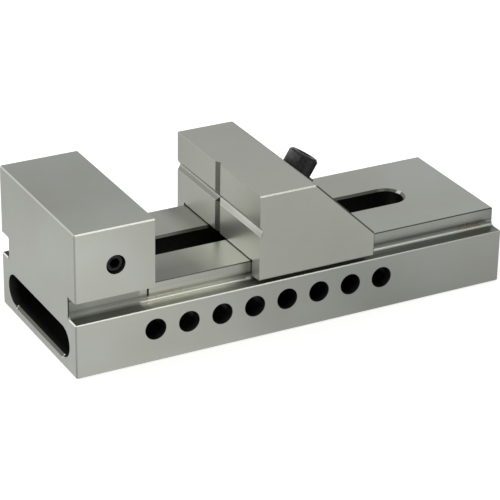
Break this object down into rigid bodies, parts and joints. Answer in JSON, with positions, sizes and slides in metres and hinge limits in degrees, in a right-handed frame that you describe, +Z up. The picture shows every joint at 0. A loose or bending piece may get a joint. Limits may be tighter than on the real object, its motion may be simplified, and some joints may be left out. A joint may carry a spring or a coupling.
{
  "type": "toolmakers vise",
  "caption": "Ground steel toolmakers vise with a sliding jaw on a rail, held by a leaning screw whose cross nut hooks into side notches.",
  "frame": {"origin": "centre of the vise's footprint, on the base face", "axes": "+X along the body from the fixed jaw to the free end, +Y across it towards the far side, +Z up from the base"},
  "size_m": [0.194, 0.073, 0.0616],
  "materials": {
    "ground_steel": "ground, satin",
    "turned_steel": "turned, satin",
    "black_washer": "black oxide",
    "black_screw": "black oxide"
  },
  "bodies": {
    "base": {"body": "ground_steel"},
    "jaw": {"movable_jaw": "ground_steel", "washer_seat": "black_washer", "keeper_plate": "turned_steel", "keeper_screw_near": "black_screw", "keeper_screw_far": "black_screw"},
    "swivel": {"spherical_washer": "black_washer"},
    "screw": {"clamp_screw": "black_screw"},
    "nut": {"cross_nut": "turned_steel"},
    "stop": {"stop_set_screw": "black_screw"}
  },
  "joints": [
    {"name": "jaw_slide", "type": "slide", "parent": "base", "child": "jaw", "axis": [1, 0, 0], "range_m": [-0.04565, 0.0449]},
    {"name": "screw_swing", "type": "hinge", "parent": "jaw", "child": "swivel", "pos_m": [0.02248, 0, 0.05808], "axis": [0, 1, 0], "range_deg": [-2.5, 2.5]},
    {"name": "screw_turn", "type": "hinge", "parent": "swivel", "child": "screw", "pos_m": [0.02248, 0, 0.05808], "axis": [0.5299, 0, 0.848], "range_deg": [-360, 360]},
    {"name": "nut_travel", "type": "slide", "parent": "swivel", "child": "nut", "axis": [0.5299, 0, 0.848], "range_m": [-0.00125, 0.00125]},
    {"name": "stop_turn", "type": "hinge", "parent": "base", "child": "stop", "pos_m": [-0.07975, -0.0292, 0.0459], "axis": [0, 1, 0], "range_deg": [-360, 360]}
  ],
  "couplings": [
    {"joint": "screw_turn", "follows": "nut_travel", "rad_per_m": -5026.5}
  ]
}
